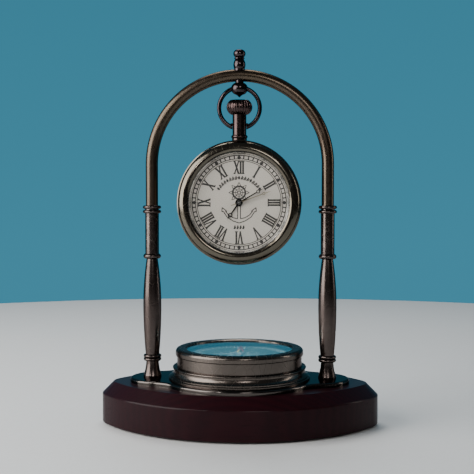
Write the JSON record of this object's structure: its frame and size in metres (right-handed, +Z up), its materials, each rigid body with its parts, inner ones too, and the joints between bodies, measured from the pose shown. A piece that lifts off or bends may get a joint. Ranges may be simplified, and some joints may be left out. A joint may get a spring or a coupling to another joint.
{
  "type": "ships deck clock",
  "caption": "Pocket-watch style desk clock hanging by its bow from an arched metal stand with turned posts, over a flat compass on an oval wooden base.",
  "frame": {"origin": "on the ground under the middle of the wooden base", "axes": "+Z up along the hanging watch's plumb line, the dial faces -Y, +X to the right seen from the front"},
  "size_m": [0.17, 0.11, 0.2298],
  "materials": {
    "felt": "short green-black felt",
    "mahogany": "dark stained mahogany, semi-gloss lacquer",
    "antique_bronze": "dark antique bronze, polished through on the high spots",
    "post_bronze": "dark purplish-brown antique bronze",
    "case_metal": "gunmetal-plated brass, polished",
    "steel": "plain turned steel",
    "dial_white": "aged warm light grey print on metal",
    "bright_ring": "bright polished ring",
    "watch_glass": "clear domed glass",
    "compass_glass": "flat clear glass",
    "black_hands": "gloss black",
    "gold_hand": "pale gold",
    "gilt": "gilt movement brass",
    "black_rubber": "soft black",
    "holder_plastic": "moulded off-white",
    "board_green": "green solder mask",
    "coil_copper": "enamelled copper wire",
    "battery_steel": "nickel-plated can",
    "compass_dark": "dark printed card",
    "needle_paint": "half red, half steel"
  },
  "bodies": {
    "stand": {"felt_pad": "felt", "wood_base": "mahogany", "base_plate": "antique_bronze", "post_foot_left": "post_bronze", "post_foot_right": "post_bronze", "baluster_left": "post_bronze", "baluster_right": "post_bronze", "arch_socket_left": "post_bronze", "arch_socket_right": "post_bronze", "arch_tube": "antique_bronze", "post_studs": "steel", "stud_washers": "steel", "stud_nuts": "steel", "finial": "antique_bronze", "hanger": "antique_bronze", "compass_skirt": "antique_bronze", "compass_drum": "antique_bronze", "compass_bezel": "antique_bronze", "compass_glass": "compass_glass", "compass_gasket": "black_rubber", "compass_card": "compass_dark", "compass_pivot": "steel", "compass_screws": "steel"},
    "needle": {"compass_needle": "needle_paint", "needle_cap": "gilt"},
    "bow": {"bow_ring": "antique_bronze"},
    "watch": {"case_band": "case_metal", "pendant": "case_metal", "front_bezel": "case_metal", "crystal": "watch_glass", "crystal_gasket": "black_rubber", "dial_ring": "bright_ring", "dial": "dial_white", "main_plate": "gilt", "movement_ring": "holder_plastic", "train_bridge": "gilt", "bridge_screws": "steel", "motor_coil": "coil_copper", "motor_stator": "steel", "circuit_board": "board_green", "battery": "battery_steel", "battery_clip": "steel"},
    "case_back": {"back_cover": "case_metal"},
    "crown_carrier": {"crown_gasket": "black_rubber"},
    "crown_knob": {"crown": "case_metal", "setting_stem": "steel"},
    "minute_arbor": {"minute_hand": "black_hands", "center_wheel": "gilt", "cannon_pinion": "gilt"},
    "hour_arbor": {"hour_hand": "black_hands", "hour_wheel": "gilt"},
    "seconds_arbor": {"seconds_hand": "gold_hand", "seconds_wheel": "gilt"},
    "minute_wheel_arbor": {"minute_wheel": "gilt"},
    "third_arbor": {"third_wheel": "gilt"}
  },
  "joints": [
    {"name": "bow_sway", "type": "hinge", "parent": "stand", "child": "bow", "pos_m": [0, 0, 0.19415], "axis": [0, 1, 0], "range_deg": [-9, 9]},
    {"name": "bow_pivot", "type": "hinge", "parent": "bow", "child": "watch", "pos_m": [0, 0, 0.18405], "axis": [1, 0, 0], "range_deg": [-90, 90]},
    {"name": "back_cover_pull", "type": "slide", "parent": "watch", "child": "case_back", "axis": [0, 1, 0], "range_m": [0, 0.012]},
    {"name": "crown_pull", "type": "slide", "parent": "watch", "child": "crown_carrier", "axis": [0, 0, 1], "range_m": [0, 0.0012]},
    {"name": "crown_turn", "type": "hinge", "parent": "crown_carrier", "child": "crown_knob", "pos_m": [0, 0, 0.19], "axis": [0, 0, 1], "continuous": true},
    {"name": "minute_turn", "type": "hinge", "parent": "watch", "child": "minute_arbor", "pos_m": [0, 0, 0.1364], "axis": [0, 1, 0], "continuous": true},
    {"name": "hour_turn", "type": "hinge", "parent": "watch", "child": "hour_arbor", "pos_m": [0, 0, 0.1364], "axis": [0, 1, 0], "continuous": true},
    {"name": "seconds_turn", "type": "hinge", "parent": "watch", "child": "seconds_arbor", "pos_m": [0, 0, 0.1364], "axis": [0, 1, 0], "continuous": true},
    {"name": "minute_wheel_turn", "type": "hinge", "parent": "watch", "child": "minute_wheel_arbor", "pos_m": [-0.0072, 0, 0.1364], "axis": [0, 1, 0], "continuous": true},
    {"name": "third_wheel_turn", "type": "hinge", "parent": "watch", "child": "third_arbor", "pos_m": [0, 0, 0.1292], "axis": [0, 1, 0], "continuous": true},
    {"name": "needle_turn", "type": "hinge", "parent": "stand", "child": "needle", "pos_m": [0, 0, 0.043], "axis": [0, 0, 1], "continuous": true}
  ],
  "couplings": [
    {"joint": "hour_turn", "follows": "minute_turn", "ratio": 0.083333},
    {"joint": "seconds_turn", "follows": "minute_turn", "ratio": 60},
    {"joint": "minute_wheel_turn", "follows": "minute_turn", "ratio": -0.33333},
    {"joint": "third_wheel_turn", "follows": "minute_turn", "ratio": -8}
  ]
}
